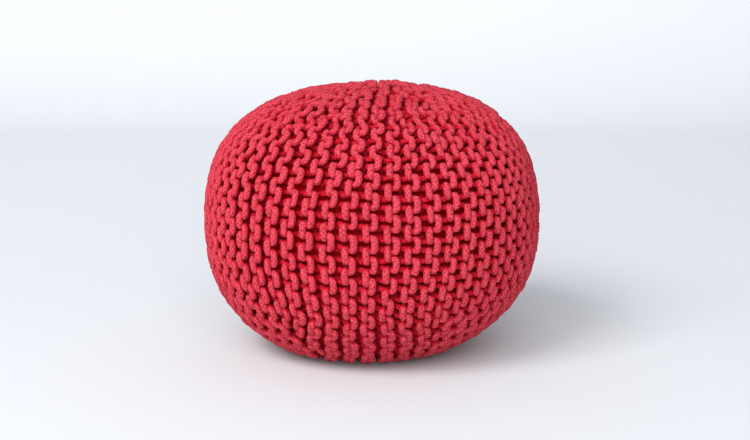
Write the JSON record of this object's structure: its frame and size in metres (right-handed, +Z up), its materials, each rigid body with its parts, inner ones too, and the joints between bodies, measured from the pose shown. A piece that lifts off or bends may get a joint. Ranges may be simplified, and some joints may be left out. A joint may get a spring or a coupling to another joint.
{
  "type": "knitted pouf",
  "caption": "Round, filled floor pouf with a cover of thick knitted cord: ribbed sides, a gathered crown and a flat base.",
  "frame": {"origin": "centre of the flat base, where the pouf touches the floor", "axes": "+Z up; the pouf faces -Y, and its gathered crown lies a little towards +X"},
  "size_m": [0.3997, 0.4, 0.3226],
  "materials": {
    "knitted_cord": "matt cotton cord in coral red, knitted in garter stitch"
  },
  "bodies": {
    "root": {"cover": "knitted_cord"}
  },
  "joints": []
}
